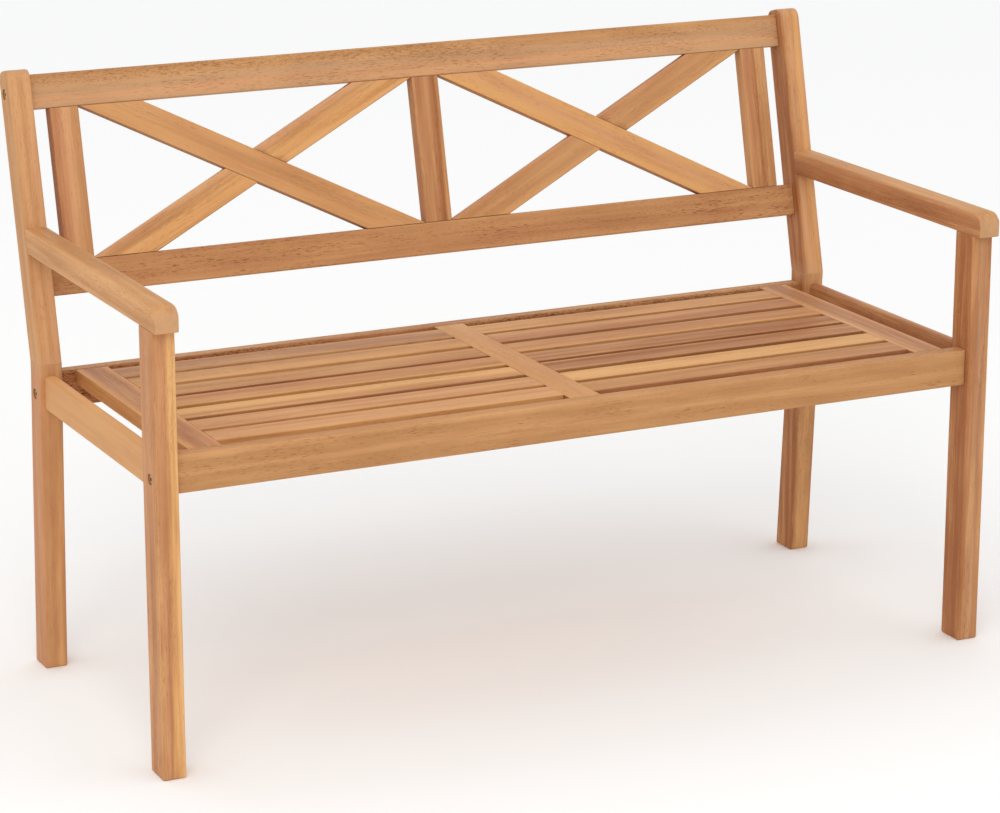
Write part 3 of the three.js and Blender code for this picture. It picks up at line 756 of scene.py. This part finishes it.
# ---- seat slats: each sits a hair higher or lower than its neighbours ----
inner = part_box("seat_board_centre")[1].x + JOINT_LINE
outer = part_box("seat_board_right")[0].x - JOINT_LINE
for side_name, side in SIDES.items():
    for number in range(1, SLATS_PER_BAY + 1):
        node = f"seat_slat_{side_name}_{number}"
        low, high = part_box(node)
        centre = middle(node)
        lift = SLAT_UNEVENNESS * math.sin(number * SLAT_STRIDE + side)
        timber(
            node, X, Y, Vector((side * (inner + outer) / 2, centre.y, centre.z + lift)),
            -(outer - inner) / 2, (outer - inner) / 2, even(high.y - low.y, high.z - low.z),
            BOARD_EDGE,
        )

# ---- back panel ----
rail_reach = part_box("back_top_rail")[1].x
for node, bottom, height in (
    ("back_top_rail", TOP_RAIL_BOTTOM, TOP_RAIL_HEIGHT),
    ("back_lower_rail", LOWER_RAIL_BOTTOM, LOWER_RAIL_HEIGHT),
):
    origin = on_rake(0, PANEL_SETBACK + RAIL_THICKNESS / 2, bottom + height / 2)
    timber(
        node, X, OFF_RAKE, origin, -rail_reach, rail_reach, even(RAIL_THICKNESS, height), RAIL_EDGE,
        start_round=RAIL_END, finish_round=RAIL_END,
    )

panel_bottom = LOWER_RAIL_BOTTOM + LOWER_RAIL_HEIGHT + JOINT_LINE
panel_top = TOP_RAIL_BOTTOM - JOINT_LINE
for name in ("left", "centre", "right"):
    node = f"back_stile_{name}"
    origin = on_rake(middle(node).x, PANEL_SETBACK + STILE_THICKNESS / 2, 0)
    timber(
        node, UP_RAKE, X, origin, panel_bottom, panel_top, even(STILE_WIDTH, STILE_THICKNESS),
        BOARD_EDGE,
    )

# ---- diagonals ----
for side_name in SIDES:
    low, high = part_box(f"back_diagonal_front_{side_name}")
    run = high.x - low.x - DIAGONAL_CUT
    rise = panel_top - panel_bottom
    angle = math.atan2(rise, run)
    length = math.hypot(rise, run)
    width = DIAGONAL_CUT * math.sin(angle)
    centre = on_rake(
        (low.x + high.x) / 2, PANEL_SETBACK + DIAGONAL_THICKNESS / 2, (panel_bottom + panel_top) / 2,
    )
    for lap, fall in (("front", 1), ("rear", -1)):
        along = X * math.cos(angle) - UP_RAKE * math.sin(angle) * fall
        across = X * math.sin(angle) * fall + UP_RAKE * math.cos(angle)
        slope = fall / math.tan(angle)
        timber(
            f"back_diagonal_{lap}_{side_name}", along, across, centre, -length / 2, length / 2,
            even(width, DIAGONAL_THICKNESS), BOARD_EDGE,
            start_slope=(slope, 0), finish_slope=(slope, 0),
        )


# ---- half laps where the diagonals cross ----
def lap_cutter(other, side_of_lap):
    """A slab shaped like the other diagonal, filling one half of the panel's thickness."""
    depth = DIAGONAL_THICKNESS / 2 + LAP_CUTTER_EXCESS
    bm = bmesh.new()
    bmesh.ops.create_cube(bm, size=1.0)
    for vertex in bm.verts:
        vertex.co.x *= LAP_CUTTER_LENGTH
        vertex.co.y *= other.dimensions.y + 2 * LAP_GAP
        vertex.co.z = vertex.co.z * depth + side_of_lap * (depth / 2 - LAP_GAP / 2)
    cutter = add_object("cutter", bm)
    cutter.matrix_world = other.matrix_world
    return cutter


bpy.context.view_layer.update()
for side_name in SIDES:
    front = boards[f"back_diagonal_front_{side_name}"]
    rear = boards[f"back_diagonal_rear_{side_name}"]
    # Their own +Z points to the sitter: the front one loses its rear half, the rear one its front half.
    front_cutter = lap_cutter(rear, -1)
    rear_cutter = lap_cutter(front, 1)
    carve(front, front_cutter)
    carve(rear, rear_cutter)

# ---- bolt holes in legs and posts, barrel nut holes in the rails ----
for bolt, rail, holder, backward in (
    ("front_rail", "front_rail", "front_leg", Y),
    ("rear_rail", "rear_rail", "rear_leg", Y),
    ("top_rail", "back_top_rail", "back_post", OFF_RAKE),
):
    for side_name, side in SIDES.items():
        axis_point = middle(f"bolt_{bolt}_{side_name}")
        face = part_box(f"{holder}_{side_name}")[0 if side < 0 else 1].x
        mouth = Vector((face, axis_point.y, axis_point.z))
        hole(f"{holder}_{side_name}", mouth, X * -side, COUNTERBORE_DIAMETER, COUNTERBORE_DEPTH)
        nut = middle(f"barrel_nut_{bolt}_{side_name}")
        rail_centre = boards[rail].matrix_world.translation
        to_face = RAIL_THICKNESS / 2 - (nut - rail_centre).dot(backward)
        hole(rail, nut + backward * to_face, -backward, NUT_BORE_DIAMETER, NUT_BORE_DEPTH)


# ================= the boards' finish and painted shade ===

GRAIN_STRIDES = (3.17, 1.93, 0.71)      # metres between the stretches of grain two boards show
ARRIS_REACH, ARRIS_GAIN = 0.16, 1.6     # reach is a share of the board's thinner side
# Painted shade: sides that don't face up, and the insides of drilled holes, are darkened.
UPWARD = 0.2                    # a side that faces up more than this isn't shaded
SIDE_START, SIDE_SPAN = 0.2, 0.3        # how far a normal turns sideways before it is shaded
SEAT_BOARD_SIDE_START = 0.7
CUT_START, CUT_SPAN = 0.45, 0.5         # how far a normal turns to the end before it is end grain
BORE_SHADE = 0.7


def rise_over(value, start, span):
    """0 up to start, then growing to 1 over the span."""
    return min(1.0, max(0.0, value - start) / span)


def in_bore(node, point):
    """Whether the point is on the wall, floor or rim of one of the board's drilled holes."""
    for mouth, inward, radius, depth in bores.get(node, ()):
        along = (point - mouth).dot(inward)
        off_axis = (point - mouth - inward * along).length
        if along < depth + BORE_RIM and off_axis < radius + BORE_RIM / 2:
            return True
    return False


def mark_board(node, piece, look):
    """Per vertex: the grain's coordinates, the arris, painted shade and cut end, and the tone layer."""
    mesh = piece.data
    low = Vector([min(v.co[k] for v in mesh.vertices) for k in range(3)])
    high = Vector([max(v.co[k] for v in mesh.vertices) for k in range(3)])
    size = high - low
    number = sorted(LOOKS).index(node)
    shift = Vector([number * stride for stride in GRAIN_STRIDES])
    tilt = look["tilt"]
    reach = abs(math.cos(tilt)) * size.y + abs(math.sin(tilt)) * size.z
    arris_width = ARRIS_REACH * min(size.y, size.z)
    side_start = SEAT_BOARD_SIDE_START if node.startswith("seat_board") else SIDE_START
    turn = piece.matrix_world.to_3x3()
    # All three are made before any is fetched, because adding one moves the others' data.
    for name, kind in (("grain", "FLOAT_VECTOR"), ("arris_shade_cut", "FLOAT_VECTOR"), ("layer", "FLOAT")):
        mesh.attributes.new(name, kind, "POINT")
    grain, arris_shade_cut, layer = (mesh.attributes[name].data for name in ("grain", "arris_shade_cut", "layer"))
    for vertex in mesh.vertices:
        co, normal = vertex.co, vertex.normal
        from_side = min(co.y - low.y, high.y - co.y)
        from_face = min(co.z - low.z, high.z - co.z)
        arris = max(0.0, 1 - max(from_side, from_face) / arris_width)
        # Painted shade: sides that don't face up darken by the look's sides, a drilled hole's wall,
        # floor and rim by BORE_SHADE.
        shade = 0.0
        if (turn @ Vector((0, math.copysign(1, normal.y), 0))).z < UPWARD:
            shade = look["sides"] * rise_over(abs(normal.y), side_start, SIDE_SPAN)
        if in_bore(node, piece.matrix_world @ co):
            shade = BORE_SHADE
        cut = rise_over(abs(normal.x), CUT_START, CUT_SPAN)
        across = math.cos(tilt) * (co.y - low.y) + math.sin(tilt) * (co.z - low.z)
        grain[vertex.index].vector = co + shift
        arris_shade_cut[vertex.index].vector = (min(1.0, arris * ARRIS_GAIN), shade, cut)
        layer[vertex.index].value = across / reach


def finish_board(node, piece):
    """Marks, material, smooth faces and place in the part for one board."""
    look = LOOKS[node]
    mark_board(node, piece, look)
    mesh = piece.data
    mesh.materials.clear()
    mesh.materials.append(timber_material(node, look))
    for polygon in mesh.polygons:
        polygon.use_smooth = True
    weighted = piece.modifiers.new("even_normals", "WEIGHTED_NORMAL")
    weighted.weight = NORMAL_WEIGHT
    weighted.keep_sharp = True
    mesh.set_sharp_from_angle(angle=SHARP_ANGLE)
    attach(piece, "root")
    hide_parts(node)


for node, piece in boards.items():
    finish_board(node, piece)


# ================= hardware =================

STEEL_DULL, STEEL_BRIGHT = (0.40, 0.28, 0.16, 1), (0.60, 0.44, 0.27, 1)
STEEL_SPOT, SPOT_STRENGTH = (0.20, 0.13, 0.08, 1), 0.5
DULLNESS = (160, 160, 4.0, 0.6)
SCRATCHES = (90, 1400, 2.0, 0.5)
SPOTS = (420, 420, 2.0, 0.5)
SPOT_RANGE, SCRATCH_RANGE = (0.58, 0.72), (0.3, 0.7)
STEEL_ROUGHNESS = (0.28, 0.5)
STEEL_BUMP, STEEL_RELIEF = 0.25, 0.00008


def steel_material():
    """Yellowish zinc plating, dulled and spotted."""
    material, n, shader = new_material("zinc_plated_steel")
    where = n.add("ShaderNodeTexCoord").outputs["Object"]
    dull = n.noise(where, DULLNESS)
    scratch = n.noise(where, SCRATCHES)
    spots = n.remap(n.noise(where, SPOTS), *SPOT_RANGE, 0.0, SPOT_STRENGTH)
    colour = n.mix("MIX", dull, STEEL_DULL, STEEL_BRIGHT)
    colour = n.mix("MIX", spots, colour, STEEL_SPOT)
    rough = n.remap(scratch, *SCRATCH_RANGE, *STEEL_ROUGHNESS, smooth=False)
    n.link(colour, shader["Base Color"])
    n.link(rough, shader["Roughness"])
    n.link(n.bump(dull, STEEL_BUMP, STEEL_RELIEF), shader["Normal"])
    shader["Metallic"].default_value = 1.0
    return material


steel = steel_material()
for bolt in ("front_rail", "rear_rail", "top_rail"):
    for side_name in SIDES:
        for kind in ("bolt", "barrel_nut"):
            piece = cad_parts[f"{kind}_{bolt}_{side_name}"]
            for material_slot in piece.material_slots:
                material_slot.material = steel


# ================= room, light and camera =================

FLOOR_RADIUS, FLOOR_SEGMENTS = 45.0, 96
FLOOR_COLOUR, FLOOR_ROUGHNESS, FLOOR_SPECULAR = (0.945, 0.95, 0.95, 1), 0.9, 0.1
SKY_COLOUR, SKY_STRENGTH = (1.0, 1.0, 1.0, 1), 0.98
KEY_PLACE, KEY_TARGET = Vector((-2.1, -3.4, 3.3)), Vector((0, 0, 0.45))
KEY_SIZE, KEY_POWER, KEY_COLOUR = 2.4, 60, (1.0, 0.965, 0.91)
CAMERA_PLACE = (-1.918, -3.894, 1.560)
CAMERA_TURN, CAMERA_DIP = math.radians(26.16), math.radians(15.70)
CAMERA_LENS, CAMERA_SENSOR = 119.9, 36          # millimetres
CAMERA_REACH = 200

scene = bpy.context.scene
scene.view_settings.view_transform = "Standard"
scene.view_settings.look = "None"

disc = bmesh.new()
bmesh.ops.create_circle(disc, cap_ends=True, segments=FLOOR_SEGMENTS, radius=FLOOR_RADIUS)
floor = add_object("floor", disc)
floor_material, _, floor_shader = new_material("pale_floor")
floor_shader["Base Color"].default_value = FLOOR_COLOUR
floor_shader["Roughness"].default_value = FLOOR_ROUGHNESS
floor_shader["Specular IOR Level"].default_value = FLOOR_SPECULAR
floor.data.materials.append(floor_material)
floor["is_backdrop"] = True

scene.world = bpy.data.worlds.new("studio")
scene.world.use_nodes = True
sky = scene.world.node_tree.nodes["Background"].inputs
sky["Color"].default_value = SKY_COLOUR
sky["Strength"].default_value = SKY_STRENGTH

key_light = bpy.data.lights.new("key", "AREA")
key_light.shape = "SQUARE"
key_light.size = KEY_SIZE
key_light.energy = KEY_POWER
key_light.color = KEY_COLOUR
key = bpy.data.objects.new("key", key_light)
key.location = KEY_PLACE
key.rotation_mode = "QUATERNION"
key.rotation_quaternion = (KEY_TARGET - KEY_PLACE).to_track_quat("-Z", "Y")
scene.collection.objects.link(key)

camera_data = bpy.data.cameras.new("camera")
camera_data.lens = CAMERA_LENS
camera_data.sensor_width = CAMERA_SENSOR
camera_data.clip_end = CAMERA_REACH
camera = bpy.data.objects.new("camera", camera_data)
camera.location = CAMERA_PLACE
camera.rotation_euler = (math.pi / 2 - CAMERA_DIP, 0, -CAMERA_TURN)
scene.collection.objects.link(camera)
scene.camera = camera

low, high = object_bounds()
